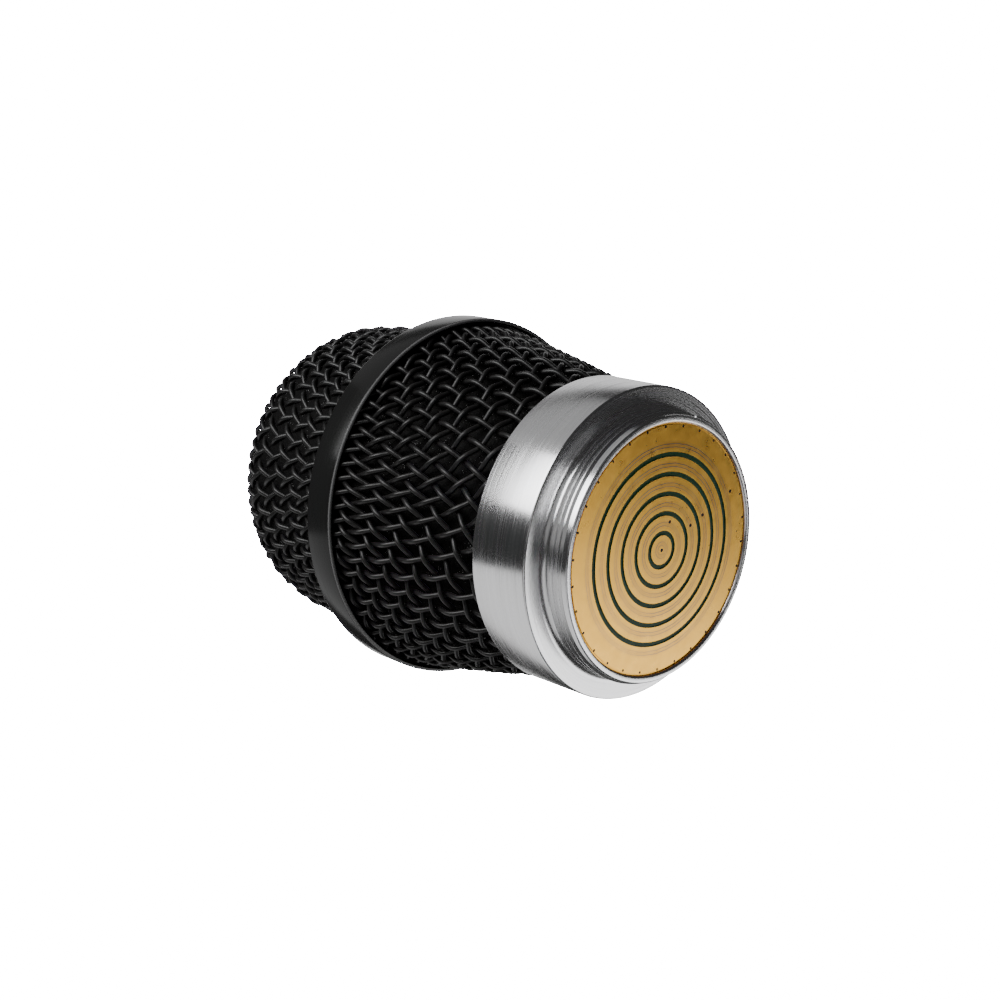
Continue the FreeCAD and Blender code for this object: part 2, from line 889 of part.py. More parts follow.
def make_capsule_housing():
    """A metal cup with a hole for the terminal and a ring of vents in its floor."""
    top = housing_bottom + size("housing_height")
    housing = turned_piece("capsule_housing", [
        (size("bush_radius"), housing_bottom),
        (size("housing_radius"), housing_bottom),
        (size("housing_radius"), top),
        (housing_bore, top),
        (housing_bore, stack_bottom),
        (size("bush_radius"), stack_bottom),
    ])
    drill_ring(housing, "housing_vent", stack_bottom, size("housing_floor"),
               size("terminal_radius"), housing_bore * VENT_RING, VENT_COUNT)


def make_capsule_stack():
    """Insulator, backplate, spacer, diaphragm, its ring, the front grid and the retaining ring."""
    plate = plate_radius
    flat_ring("backplate_insulator", plate - size("insulator_wall"), plate, stack_bottom,
              size("insulator_height"))
    backplate = flat_ring("backplate", None, plate, plate_bottom, size("plate_thickness"))
    for name, share, count in BACKPLATE_HOLES:
        drill_ring(backplate, f"backplate_{name}_hole", plate_top, size("plate_thickness"),
                   size("backplate_hole"), plate * share, count)
    flat_ring("diaphragm_spacer", ring_bore, plate, plate_top, size("spacer_film"))
    flat_ring("diaphragm", None, plate, film_bottom, size("diaphragm_film"))
    flat_ring("diaphragm_ring", ring_bore, plate, ring_bottom, size("ring_height"))
    grid = flat_ring("front_grid", None, plate, grid_bottom, size("grid_thickness"))
    for name, share, count in GRID_HOLES:
        drill_ring(grid, f"grid_{name}_hole", grid_top, size("grid_thickness"),
                   size("grid_hole"), plate * share, count)
    flat_ring("retaining_ring", ring_bore, plate, grid_top, size("retainer_height"))


def make_terminal():
    """A pin under the backplate, led through the housing's floor in an insulating bush."""
    pin = size("terminal_radius")
    plain_cylinder("terminal_pin", pin, plate_bottom - terminal_bottom, (0, 0, terminal_bottom))
    inner = pin + size("board_play")
    outer = size("bush_radius") - size("board_play")
    flange = outer + size("bush_flange")
    turned_piece("terminal_bushing", [
        (inner, housing_bottom),
        (outer, housing_bottom),
        (outer, stack_bottom),
        (flange, stack_bottom),
        (flange, stack_bottom + pin),
        (inner, stack_bottom + pin),
    ])


def make_lead(label, start, end):
    """A stiff wire that leaves its start and reaches its end straight downwards."""
    down = FreeCAD.Vector(0, 0, -1)
    straight = (start.z - end.z) * size("lead_bend_share").value
    path = Part.makePolygon([start, start + down * straight, end - down * straight, end])
    ring = Part.Wire([Part.makeCircle(size("lead_radius").value, start, down)])
    mitred_corners = 1
    lead = doc.addObject("Part::Feature", label)
    lead.Label = label
    lead.Shape = path.makePipeShell([ring], True, False, mitred_corners)


def make_leads():
    board = amplifier_top.value
    under_housing = housing_bottom.value
    side = (size("lead_hole").value + size("terminal_radius").value) / 2 + size("screw_play").value
    make_lead("signal_lead", FreeCAD.Vector(0, 0, terminal_bottom.value),
              FreeCAD.Vector(size("signal_pad").value, 0, board))
    make_lead("ground_lead", FreeCAD.Vector(-side, 0, under_housing),
              FreeCAD.Vector(-size("ground_pad").value, 0, board))


NODES = [
    "collar", "contact_board", "centre_contact",
    "contact_ring_1", "contact_ring_2", "contact_ring_3", "contact_ring_4", "contact_ring_5",
    "lower_grille", "band", "upper_grille", "lower_foam", "upper_foam",
    "pin_header", "header_pins", "board_spacers", "board_screws", "amplifier_board",
    "field_effect_transistor", "coupling_capacitor", "bias_resistor",
    "pedestal", "pedestal_screws", "shock_mount", "capsule_housing",
    "backplate_insulator", "backplate", "diaphragm_spacer", "diaphragm", "diaphragm_ring",
    "front_grid", "retaining_ring", "terminal_pin", "terminal_bushing",
    "signal_lead", "ground_lead",
]


def write_nodes():
    """Check every object and every node's shape, and only then write the nodes."""
    doc.recompute()
    for thing in doc.Objects:
        if "Invalid" in thing.State or "Error" in thing.State:
            raise RuntimeError(f"{thing.Name} failed: {thing.State}")
    nodes = {thing.Label: thing for thing in doc.Objects if thing.Label in NODES}
    for label in NODES:
        shape = nodes[label].Shape
        if shape.isNull() or not shape.isValid() or shape.Volume <= 0:
            raise RuntimeError(label + " has no sound shape")
    os.makedirs("parts", exist_ok=True)
    for label in NODES:
        nodes[label].Shape.exportStep(f"parts/{label}.step")


make_collar()
make_contact_board()
make_contacts()
make_band()
make_lower_grille()
make_upper_grille()
make_lower_foam()
make_upper_foam()
make_pin_header()
make_board_spacers()
make_screws()
make_amplifier_board()
make_components()
make_pedestal()
make_shock_mount()
make_capsule_housing()
make_capsule_stack()
make_terminal()
make_leads()
write_nodes()
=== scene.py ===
import math
import bmesh
import bpy
from mathutils import Matrix, Vector, noise


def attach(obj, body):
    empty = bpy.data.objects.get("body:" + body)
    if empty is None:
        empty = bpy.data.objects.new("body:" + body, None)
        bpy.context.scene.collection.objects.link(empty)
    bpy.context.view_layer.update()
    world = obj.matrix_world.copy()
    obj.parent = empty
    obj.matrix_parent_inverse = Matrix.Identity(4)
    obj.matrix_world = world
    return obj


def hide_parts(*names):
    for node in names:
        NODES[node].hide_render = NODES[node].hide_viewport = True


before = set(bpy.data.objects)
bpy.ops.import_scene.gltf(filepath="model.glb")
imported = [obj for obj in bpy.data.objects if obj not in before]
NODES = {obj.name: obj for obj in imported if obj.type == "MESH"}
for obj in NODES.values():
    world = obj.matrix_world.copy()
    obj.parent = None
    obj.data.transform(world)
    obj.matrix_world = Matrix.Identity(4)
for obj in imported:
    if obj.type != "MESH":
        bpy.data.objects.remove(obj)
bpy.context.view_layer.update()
MM = 0.001
TURN = 2 * math.pi

# All radii, heights and lengths below are in mm, and the axis is the CAD's.

# turned metal: steps round the axis, and how far its edges are rounded
METAL_STEPS = 256
COLLAR_ROUNDING, BAND_ROUNDING = 0.05, 0.06

# the angles in degrees from which an edge stays sharp
METAL_CREASE, THREAD_CREASE, SOFT_CREASE = 32, 25, 60

# contact board: its gap circles, and its plated holes as x, y and radius
FIRST_GAP = 2.0
GAP_PITCH = 2.2727
ETCHED_WIDTH = 0.55
OUTER_TRACK = 12.8
PLATED_HOLES = ((0.0, 0.05, 0.22), (3.37, 0.09, 0.21), (3.65, 3.87, 0.21), (5.22, 5.52, 0.21),
                (8.82, 9.33, 0.21), (4.53, 12.55, 0.09))
EDGE_HOLES = 30
EDGE_HOLE_RING = 14.35
EDGE_HOLE_RADIUS = 0.16
EDGE_HOLE_START = math.radians(3.8)
PLATED_RIM = 14.4

# worn tracks: how far they lie inside the middle of a ring and stray from there, how far their
# haze fades, and how far to its sides two lines lie and fade
TRACK_SHIFT = 0.1
TRACK_WANDER = 0.05
HAZE_WIDTH = 0.6
HAZE_STRENGTH = 0.3
LINE_SET = 0.2
LINE_WIDTH = 0.09

# collar
COLLAR_OUTSIDE, COLLAR_REAR, SHOULDER = 18.5, 12.0, 3.6
FRONT_EDGE, REAR_EDGE = 0.25, 0.15
NECK, FILLET, NECK_START = 15.6, 0.9, 2.5
MOUTH, MOUTH_CHAMFER, BOARD_REAR = 14.75, 0.2, 2.0
LEAD_IN, LEAD_IN_END = 15.45, 0.14
SLOT_OUTSIDE, SLOT_FLOOR, SLOT_INSIDE = 18.2, 10.5, 16.35
LEDGE, BORE = 9.4, 13.0

# thread on the collar's neck
THREAD_PITCH, THREAD_CREST, THREAD_ROOT = 0.75, 15.875, 15.56
THREAD_START, THREAD_TURNS, THREAD_STEPS = 0.2, 3, 160
FLANK, CREST_FLAT = 0.30, 0.12
LEAD_IN_SLOPE = 1.0625

# its ends rise from a share of its depth, which is never less than another, over an angle in
# radians; nothing nearer to the root than ROOT_MARGIN is drawn in
RUN_START, RUN_LEAST, RUN_OUT = 0.6, 0.02, 0.5
ROOT_MARGIN = 0.01

# band
BAND_OUTSIDE, BAND_FRONT, BAND_REAR, BAND_EDGE = 22.9, 32.6, 36.9, 0.25
BARREL_SEAT, DOME_SEAT = 22.45, 21.1
WEB_BOTTOM, WEB_TOP, WEB_INSIDE = 34.2, 35.4, 18.4
# painted highlight along the band's front edge: its height, how far it fades to each side, and the
# radius from which it shows
EDGE_HIGHLIGHT_LEVEL, EDGE_HIGHLIGHT_WIDTH, EDGE_HIGHLIGHT_FROM = 32.66, 0.13, 22.5

# woven wire: its radius, how far it swings out and in, and its points along a mesh
WIRE_RADIUS = 0.325
CRIMP = 0.35
STEPS_PER_MESH = 7

# barrel: the surface that its wire crests touch
BARREL_FOOT, BARREL_TOP = 10.5, 34.2
BARREL_FOOT_RADIUS, BARREL_TOP_RADIUS, BARREL_BULGE = 17.75, 22.4, 0.25

# the sheet on the barrel: polynomials in steps of SHEET_STEP meshes from SHEET_MIDDLE out,
# plain and for the fourth and eighth wave round the axis; its core lies off the barrel
SHEET_MIDDLE, SHEET_STEP, SHEET_CORE = 10, 4, 4
TWIST_4, TWIST_8 = (0.0468, 0.0515, -0.021), (-0.0075, 0.0056, 0.0126)
RISE, RISE_4, RISE_8 = (20.558, 10.55, 0.104), (-0.482, -1.041, -1.008), (0.05, 0.174)

# dome: its wire crests touch a tapered side, a corner arc and a top arc, all tangent
DOME_TAPER = math.radians(3.8)
DOME_TURN = math.radians(74)
DOME_FOOT, DOME_CORNER_HEIGHT, DOME_CORNER, DOME_SIDE = 35.4, 51.4, 10.3, 21.0
DOME_RISE = DOME_CORNER_HEIGHT - DOME_FOOT
DOME_CENTRE = DOME_SIDE - DOME_RISE * math.tan(DOME_TAPER) - DOME_CORNER * math.cos(DOME_TAPER)
DOME_LEVEL = DOME_CORNER_HEIGHT - DOME_CORNER * math.sin(DOME_TAPER)
DOME_TOP_RADIUS = DOME_CORNER + DOME_CENTRE / math.cos(DOME_TURN)
DOME_TOP_LEVEL = DOME_LEVEL - DOME_CENTRE * math.tan(DOME_TURN)
TOP_LENGTH = DOME_TOP_RADIUS * (math.pi / 2 - DOME_TURN)
CORNER_LENGTH = DOME_CORNER * (DOME_TURN - DOME_TAPER)
DOME_LENGTH = TOP_LENGTH + CORNER_LENGTH + DOME_RISE / math.cos(DOME_TAPER)

# the sheet on the dome: its mesh, and how it stretches and twists from DOME_SETTLE on
DOME_MESH = 2.3
DOME_STRETCH, DOME_TWIST, DOME_SETTLE = 0.1, 0.01, 22

# foam linings: their thickness and steps round, and the depth and grain of their hollows
FOAM = 1.2
FOAM_STEPS = 180
FOAM_HOLLOW = 0.12
FOAM_GRAIN = 450
SLEEVE_FOOT, SLEEVE_TOP = (16.15, 10.85), (21.0, 34.15)
SLEEVE_ROWS = 24
CUP_ROWS, CUP_LAST_ROW, CUP_INSET = 40, 0.999, 0.6


# ---- shaping ----

def let_go():
    """Select nothing, so that the next operator acts only on the next piece."""
    bpy.ops.object.select_all(action="DESELECT")


def pick(piece):
    """Select one piece alone and make it the active one."""
    let_go()
    piece.select_set(True)
    bpy.context.view_layer.objects.active = piece


def outlined(name, corners):
    """A closed outline of (radius, height) corners in the plane y = 0."""
    let_go()
    bpy.ops.mesh.primitive_circle_add(vertices=len(corners), radius=MM)
    piece = bpy.context.object
    piece.name = name
    bpy.ops.object.mode_set(mode="EDIT")
    mesh = bmesh.from_edit_mesh(piece.data)
    mesh.verts.ensure_lookup_table()
    for vert, (radius, height) in zip(mesh.verts, corners):
        vert.co = (radius * MM, 0, height * MM)
    bmesh.update_edit_mesh(piece.data)
    return piece


def turned(name, corners, steps):
    """Spin a closed outline round the axis, merge its seam and turn its faces outwards."""
    piece = outlined(name, corners)
    bpy.ops.mesh.select_all(action="SELECT")
    bpy.ops.mesh.spin(steps=steps, angle=TURN, center=(0, 0, 0), axis=(0, 0, 1))
    bpy.ops.mesh.select_all(action="SELECT")
    bpy.ops.mesh.remove_doubles(threshold=1e-6)
    bpy.ops.mesh.delete_loose()
    bpy.ops.mesh.select_all(action="SELECT")
    bpy.ops.mesh.normals_make_consistent(inside=False)
    bpy.ops.object.mode_set(mode="OBJECT")
    return piece


def modify(piece, kind, **settings):
    """Add a modifier to a piece and apply it."""
    pick(piece)
    modifier = piece.modifiers.new(kind.title(), kind)
    for key, value in settings.items():
        setattr(modifier, key, value)
    bpy.ops.object.modifier_apply(modifier=modifier.name)


def break_edges(piece, width):
    """Round the sharp edges of turned metal."""
    modify(piece, "BEVEL", width=width * MM, segments=2, limit_method="ANGLE",
           angle_limit=math.radians(METAL_CREASE), use_clamp_overlap=True)


def smooth(piece, degrees):
    """Shade smooth across edges that turn by less than an angle."""
    pick(piece)
    bpy.ops.object.shade_smooth_by_angle(angle=math.radians(degrees))


def arc(centre, radius, start, end, count):
    """Corners of (radius, height) along an arc, angles in degrees."""
    points = []
    for index in range(count + 1):
        angle = math.radians(start + (end - start) * index / count)
        points.append((centre[0] + radius * math.cos(angle), centre[1] + radius * math.sin(angle)))
    return points


def fit(piece, finish, replaced):
    """Give a piece its finish and its place in the model."""
    piece.data.materials.clear()
    piece.data.materials.append(finish)
    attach(piece, "root")
    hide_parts(replaced)


# ---- finishes ----

class Finish:
    """A node material that is built step by step."""

    def __init__(self, name, color, roughness, metallic=0.0, **more):
        self.material = bpy.data.materials.new(name)
        self.material.use_nodes = True
        self.tree = self.material.node_tree
        self.shader = self.tree.nodes["Principled BSDF"]
        self.shader.inputs["Base Color"].default_value = (*color, 1)
        self.shader.inputs["Roughness"].default_value = roughness
        self.shader.inputs["Metallic"].default_value = metallic
        for key, value in more.items():
            self.shader.inputs[key.replace("_", " ")].default_value = value
        self.point = self.node("TexCoord").outputs["Object"]

    def set(self, made, key, value):
        """Link a socket to another node's output, or give it a fixed value."""
        if isinstance(value, bpy.types.NodeSocket):
            self.tree.links.new(value, made.inputs[key])
        else:
            made.inputs[key].default_value = value

    def node(self, kind, sockets=(), **settings):
        made = self.tree.nodes.new("ShaderNode" + kind)
        for key, value in settings.items():
            setattr(made, key, value)
        for key, value in dict(sockets).items():
            self.set(made, key, value)
        return made

    def math(self, operation, *values, clamp=False):
        made = self.node("Math", enumerate(values), operation=operation, use_clamp=clamp)
        return made.outputs[0]

    def place(self):
        """The point's x, y, z and its distance from the axis, in mm."""
        parts = self.node("SeparateXYZ", {0: self.point}).outputs
        x, y, z = (self.math("MULTIPLY", part, 1000) for part in parts)
        return x, y, z, self.math("SQRT", self.square(x, y))

    def square(self, first, second):
        """The sum of two squares."""
        return self.math("ADD", self.math("MULTIPLY", first, first),
                         self.math("MULTIPLY", second, second))

    def fading(self, distance, width):
        """One at a line, and nothing from a width away on."""
        return self.math("SUBTRACT", 1.0, self.math("DIVIDE", distance, width), clamp=True)

    def noise(self, vector, scale, detail=3.0, roughness=0.5):
        made = self.node("TexNoise", {"Vector": vector, "Scale": scale, "Detail": detail,
                                      "Roughness": roughness})
        return made.outputs["Fac"]

    def spread(self, value, low, high, start, end):
        """Map a value from one range to another."""
        made = self.node("MapRange", {"Value": value, "From Min": low, "From Max": high,
                                      "To Min": start, "To Max": end})
        return made.outputs["Result"]

    def tint(self, factor, first, second):
        """Mix two colours, each an (r, g, b) or a socket."""
        made = self.node("Mix", data_type="RGBA")
        self.tree.links.new(factor, made.inputs[0])
        for index, color in ((6, first), (7, second)):
            self.set(made, index, (*color, 1) if isinstance(color, tuple) else color)
        return made.outputs[2]

    def bump(self, height, strength, distance):
        """Add a relief; distance in mm."""
        made = self.node("Bump", {"Height": height, "Strength": strength,
                                  "Distance": distance * MM})
        self.drive("Normal", made.outputs["Normal"])

    def drive(self, socket, value):
        self.tree.links.new(value, self.shader.inputs[socket])


def grained(name, color, darker, roughness, metallic=0.0, grain=2.0):
    """A finish with a fine even grain in its colour, gloss and relief; grain per mm."""
    made = Finish(name, color, roughness, metallic)
    fine = made.noise(made.point, grain * 1000, 4)
    broad = made.noise(made.point, grain * 120, 2)
    made.drive("Base Color", made.tint(broad, color, darker))
    made.drive("Roughness", made.spread(fine, 0.3, 0.7, roughness * 0.85, roughness * 1.15))
    made.bump(fine, 0.3, 0.01)
    return made.material


def turned_finish(name, color, roughness, relief, metallic, shine, streak):
    """A turned surface: fine lines run round the axis on every face, and the shine spreads
    across them by streak."""
    made = Finish(name, color, roughness, metallic, Specular_IOR_Level=shine,
                  Anisotropic=streak, Anisotropic_Rotation=0.25)
    x, y, z, radius = made.place()
    east, north = made.math("DIVIDE", x, radius), made.math("DIVIDE", y, radius)
    lines_per_mm, slant = 6.0, 1.37
    across = made.math("ADD", z, made.math("MULTIPLY", radius, slant))
    lines = made.node("CombineXYZ", {
        0: east, 1: north, 2: made.math("MULTIPLY", across, lines_per_mm)}).outputs[0]
    west = made.math("MULTIPLY", north, -1.0)
    made.drive("Tangent", made.node("CombineXYZ", {0: west, 1: east}).outputs[0])
    fine = made.noise(lines, 0.9, 3, 0.6)
    made.drive("Roughness", made.spread(fine, 0.3, 0.7, roughness * 0.75, roughness * 1.3))
    made.bump(fine, 0.6, relief)
    return made, lines, z, radius


def silver_finish():
    """Turned silver metal with slow changes of tone."""
    color = (0.80, 0.80, 0.81)
    made, lines, _, _ = turned_finish("turned_silver", color, 0.23, 0.003, 1.0, 0.5, 0.75)
    broad = made.noise(lines, 0.2, 2)
    made.drive("Base Color", made.tint(broad, color, tuple(part * 0.86 for part in color)))
    return made.material


def band_finish():
    """Satin black, with a painted highlight: a pale line painted along the front edge."""
    color = (0.010, 0.010, 0.010)
    made, _, z, radius = turned_finish("satin_black", color, 0.17, 0.001, 0.0, 0.13, 0.0)
    from_edge = made.math("ABSOLUTE", made.math("SUBTRACT", z, EDGE_HIGHLIGHT_LEVEL))
    outside = made.math("GREATER_THAN", radius, EDGE_HIGHLIGHT_FROM)
    painted_highlight = made.math("MULTIPLY", made.fading(from_edge, EDGE_HIGHLIGHT_WIDTH), outside)
    # painted highlight: pale grey painted along the front edge, where its lit rounding would shine
    made.drive("Base Color", made.tint(painted_highlight, color, (0.2, 0.2, 0.2)))
    return made.material


def worn_tracks(made, radius, patchy, broad):
    """A haze with two lines in it, midway between the gaps, where contact pins have run."""
    middle = FIRST_GAP + GAP_PITCH / 2 - TRACK_SHIFT
    wander = made.spread(patchy, 0.3, 0.7, -TRACK_WANDER, TRACK_WANDER)
    off = made.math("SUBTRACT", made.math("SUBTRACT", radius, middle), wander)
    from_track = made.math("PINGPONG", off, GAP_PITCH / 2)
    from_line = made.math("ABSOLUTE", made.math("SUBTRACT", from_track, LINE_SET))
    line = made.math("MULTIPLY", made.fading(from_line, LINE_WIDTH),
                     made.spread(broad, 0.38, 0.6, 0.4, 1.0))
    haze = made.math("MULTIPLY", made.fading(from_track, HAZE_WIDTH), HAZE_STRENGTH)
    return made.math("MAXIMUM", haze, line)


def plated_holes(made, x, y, radius):
    """One inside a plated hole, on the face or in the ring along its edge."""
    step = TURN / EDGE_HOLES
    turned_by = made.math("SUBTRACT", made.math("ARCTAN2", y, x), EDGE_HOLE_START)
    along = made.math("MULTIPLY", made.math("PINGPONG", turned_by, step / 2), EDGE_HOLE_RING)
    across = made.math("SUBTRACT", radius, EDGE_HOLE_RING)
    hole = made.math("LESS_THAN", made.square(along, across), EDGE_HOLE_RADIUS ** 2)
    for spot_x, spot_y, size in PLATED_HOLES:
        away = made.square(made.math("SUBTRACT", x, spot_x), made.math("SUBTRACT", y, spot_y))
        hole = made.math("MAXIMUM", hole, made.math("LESS_THAN", away, size ** 2))
    return hole


def gold_finish():
    """Plated contacts with worn tracks, etched green edges, and small plated holes painted near
    black as painted shade inside them.
    """
    made = Finish("worn_gold_plate", (0.83, 0.45, 0.09), 0.4, 1.0, Specular_IOR_Level=0.15)
    x, y, _, radius = made.place()
    patchy = made.noise(made.point, 900, 4, 0.6)
    broad = made.noise(made.point, 130, 3)
    inside = made.math("LESS_THAN", radius, OUTER_TRACK)
    from_gap = made.math("PINGPONG", made.math("SUBTRACT", radius, FIRST_GAP), GAP_PITCH / 2)
    etched = made.math("LESS_THAN", from_gap, ETCHED_WIDTH / 2)
    etched = made.math("MULTIPLY", inside, etched)
    worn = made.math("MULTIPLY", worn_tracks(made, radius, patchy, broad), inside)
    hole = plated_holes(made, x, y, radius)
    plated = made.tint(broad, (0.88, 0.50, 0.085), (0.80, 0.44, 0.07))
    used = made.tint(worn, plated, (0.21, 0.15, 0.13))
    edged = made.tint(etched, used, (0.012, 0.07, 0.024))
    # painted shade: the plated holes are painted near black for the dark inside them
    made.drive("Base Color", made.tint(hole, edged, (0.004, 0.003, 0.002)))
    made.drive("Metallic", made.math("SUBTRACT", 1.0, made.math("MAXIMUM", hole, etched)))
    made.drive("Roughness", made.spread(patchy, 0.3, 0.7, 0.27, 0.34))
    made.bump(made.math("ADD", patchy, made.math("MULTIPLY", hole, -6.0)), 0.12, 0.02)
    return made.material


def board_finish():
    """Green laminate whose rim is plated like its contacts."""
    made = Finish("green_board_mask", (0.012, 0.07, 0.03), 0.4, Specular_IOR_Level=0.15)
    _, _, _, radius = made.place()
    rim = made.math("GREATER_THAN", radius, PLATED_RIM)
    grain = made.noise(made.point, 700, 3)
    green = made.tint(grain, (0.012, 0.075, 0.028), (0.008, 0.055, 0.02))
    made.drive("Base Color", made.tint(rim, green, (0.84, 0.46, 0.075)))
    made.drive("Metallic", rim)
    made.drive("Roughness", made.spread(grain, 0.3, 0.7, 0.32, 0.42))
    made.bump(grain, 0.2, 0.01)
    return made.material


def wire_coat():
    """Black powder coat on the woven wire."""
    made = Finish("black_coated_wire", (0.01, 0.01, 0.01), 0.33, Specular_IOR_Level=0.3)
    orange_peel = made.noise(made.point, 3500, 3)
    cloud = made.noise(made.point, 260, 2)
    made.drive("Base Color", made.tint(cloud, (0.006, 0.006, 0.006), (0.011, 0.011, 0.011)))
    made.drive("Roughness", made.spread(orange_peel, 0.3, 0.7, 0.30, 0.40))
    made.bump(orange_peel, 0.2, 0.02)
    return made.material


def foam_finish():
    """Dark open foam with painted glints: pale grey painted on its cell walls in patches."""
    dark = (0.002, 0.002, 0.002)
    made = Finish("dark_foam", dark, 0.7, Specular_IOR_Level=0.08)
    cells = made.node("TexVoronoi", {"Vector": made.point, "Scale": 3600.0}).outputs["Distance"]
    patch = made.noise(made.point, 420, 2)
    # painted highlight: pale grey painted on the cell walls in patches, standing in for glints
    painted_glint = made.math("MULTIPLY", made.spread(cells, 0.16, 0.1, 0, 1),
                      made.spread(patch, 0.52, 0.62, 0, 1))
    made.drive("Base Color", made.tint(painted_glint, dark, (0.3, 0.3, 0.3)))
    made.bump(cells, 0.8, 0.1)
    return made.material


silver = silver_finish()
band_black = band_finish()
gold = gold_finish()
wire = wire_coat()
foam = foam_finish()
mask = board_finish()
black_plastic = grained("moulded_black", (0.02, 0.02, 0.02), (0.03, 0.03, 0.03), 0.45)
white_plastic = grained("moulded_white", (0.75, 0.74, 0.70), (0.66, 0.65, 0.6), 0.4)
brass = grained("machined_brass", (0.78, 0.58, 0.28), (0.66, 0.47, 0.2), 0.3, 1.0, 3)
steel = grained("bright_steel", (0.62, 0.62, 0.63), (0.5, 0.5, 0.5), 0.3, 1.0, 3)
nickel = grained("nickel_capsule", (0.66, 0.65, 0.62), (0.56, 0.55, 0.52), 0.28, 1.0, 3)

# what each carried-over solid is made of
MADE_OF = {
    "contact_board": mask,
    "centre_contact": gold,
    "contact_ring_1": gold,
    "contact_ring_2": gold,
    "contact_ring_3": gold,
    "contact_ring_4": gold,
    "contact_ring_5": gold,
    "header_pins": gold,
    "amplifier_board": mask,
    "pin_header": black_plastic,
    "pedestal": black_plastic,
    "board_spacers": brass,
    "backplate": brass,
    "diaphragm_ring": brass,
    "terminal_pin": brass,
    "board_screws": steel,
    "pedestal_screws": steel,
    "field_effect_transistor": steel,
    "backplate_insulator": white_plastic,
    "diaphragm_spacer": white_plastic,
    "terminal_bushing": white_plastic,
    "capsule_housing": nickel,
    "front_grid": nickel,
    "retaining_ring": nickel,
    "coupling_capacitor": grained("capacitor_case", (0.62, 0.12, 0.04), (0.5, 0.08, 0.03), 0.35),
    "bias_resistor": grained("resistor_enamel", (0.25, 0.42, 0.5), (0.18, 0.32, 0.4), 0.4),
    "shock_mount": grained("matt_rubber", (0.025, 0.025, 0.025), (0.04, 0.04, 0.04), 0.8),
    "diaphragm": grained("gold_film", (0.85, 0.62, 0.25), (0.8, 0.56, 0.2), 0.15, 1.0, 1),
    "signal_lead": grained("red_insulation", (0.45, 0.02, 0.02), (0.36, 0.015, 0.015), 0.45),
    "ground_lead": grained("black_insulation", (0.02, 0.02, 0.02), (0.03, 0.03, 0.03), 0.45),
}


# ---- woven wire ----

def series(terms, step):
    """A polynomial by its terms."""
    return sum(term * step ** power for power, term in enumerate(terms))


def barrel_radius(height):
    """Crest radius of the woven barrel at a height."""
    share = (height - BARREL_FOOT) / (BARREL_TOP - BARREL_FOOT)
    straight = BARREL_FOOT_RADIUS + (BARREL_TOP_RADIUS - BARREL_FOOT_RADIUS) * share
    return straight + BARREL_BULGE * 4 * share * (1 - share)


def barrel_map(rho, phi):
    """A flat sheet drawn over the barrel, with its centre on the axis in front of the collar."""
    step = (rho - SHEET_MIDDLE) / SHEET_STEP
    angle = phi + series(TWIST_4, step) * math.sin(4 * phi)
    angle += series(TWIST_8, step) * math.sin(8 * phi)
    height = series(RISE, step)
    height += series(RISE_4, step) * math.cos(4 * phi) + series(RISE_8, step) * math.cos(8 * phi)
    if rho < SHEET_CORE:
        height = 0
    lean = -math.atan2(BARREL_TOP_RADIUS - BARREL_FOOT_RADIUS, BARREL_TOP - BARREL_FOOT)
    return angle, barrel_radius(height), height, lean


def dome_point(length):
    """Crest radius, height and lean by the length from the top of the dome."""
    if length < TOP_LENGTH:
        lean = math.pi / 2 - length / DOME_TOP_RADIUS
        height = DOME_TOP_LEVEL + DOME_TOP_RADIUS * math.sin(lean)
        return DOME_TOP_RADIUS * math.cos(lean), height, lean
    if length < TOP_LENGTH + CORNER_LENGTH:
        lean = DOME_TURN - (length - TOP_LENGTH) / DOME_CORNER
        height = DOME_LEVEL + DOME_CORNER * math.sin(lean)
        return DOME_CENTRE + DOME_CORNER * math.cos(lean), height, lean
    down = length - TOP_LENGTH - CORNER_LENGTH
    radius = DOME_CENTRE + DOME_CORNER * math.cos(DOME_TAPER) + down * math.sin(DOME_TAPER)
    return radius, DOME_CORNER_HEIGHT - down * math.cos(DOME_TAPER), DOME_TAPER


def dome_map(rho, phi):
    """A flat sheet drawn over the dome, with its centre on the top."""
    rho *= DOME_MESH
    settled = min(rho / DOME_SETTLE, 1)
    length = rho * (1 + DOME_STRETCH * (1 - math.cos(4 * phi)) * settled)
    radius, height, lean = dome_point(length)
    return phi + DOME_TWIST * settled * math.sin(4 * phi), radius, height, lean


def add_wire(curve, run):
    """One wire of a curve through a run of points."""
    spline = curve.splines.new("POLY")
    spline.points.add(len(run) - 1)
    for point, place in zip(spline.points, run):
        point.co = (*[part * MM for part in place], 1)


def woven(name, mapping, turn, shift, low, high, reach, replaced):
    """Plain weave: each wire goes over and under the wires of the other direction.

    The sheet is measured in meshes, shift is how far its wires lie from its centre, reach is
    how many there are to each side, and a run of wire is kept where its height is between
    low and high."""
    curve = bpy.data.curves.new(name, "CURVE")
    curve.dimensions = "3D"
    curve.bevel_depth = WIRE_RADIUS * MM
    curve.bevel_resolution = 2
    curve.use_fill_caps = True
    samples = reach * STEPS_PER_MESH
    for direction, side in ((0, -1), (1, 1)):
        for index in range(-reach, reach + 1):
            offset = index + shift[direction]
            run = []
            for sample in range(-samples, samples + 1):
                along = sample / STEPS_PER_MESH
                x, y = (along, offset) if direction else (offset, along)
                angle, radius, height, lean = mapping(math.hypot(x, y), math.atan2(y, x))
                inside = low <= height <= high
                if inside:
                    wave = math.cos(math.pi * (along - shift[1 - direction] + index))
                    lift = CRIMP * wave * side - CRIMP - WIRE_RADIUS
                    out = radius + lift * math.cos(lean)
                    run.append((out * math.cos(angle + turn), out * math.sin(angle + turn),
                                height + lift * math.sin(lean)))
                if run and (not inside or sample == samples):
                    if len(run) > 2:
                        add_wire(curve, run)
                    run = []
    piece = bpy.data.objects.new(name, curve)
    bpy.context.scene.collection.objects.link(piece)
    pick(piece)
    bpy.ops.object.convert(target="MESH")
    piece = bpy.context.object
    smooth(piece, SOFT_CREASE)
    fit(piece, wire, replaced)


# ---- foam ----

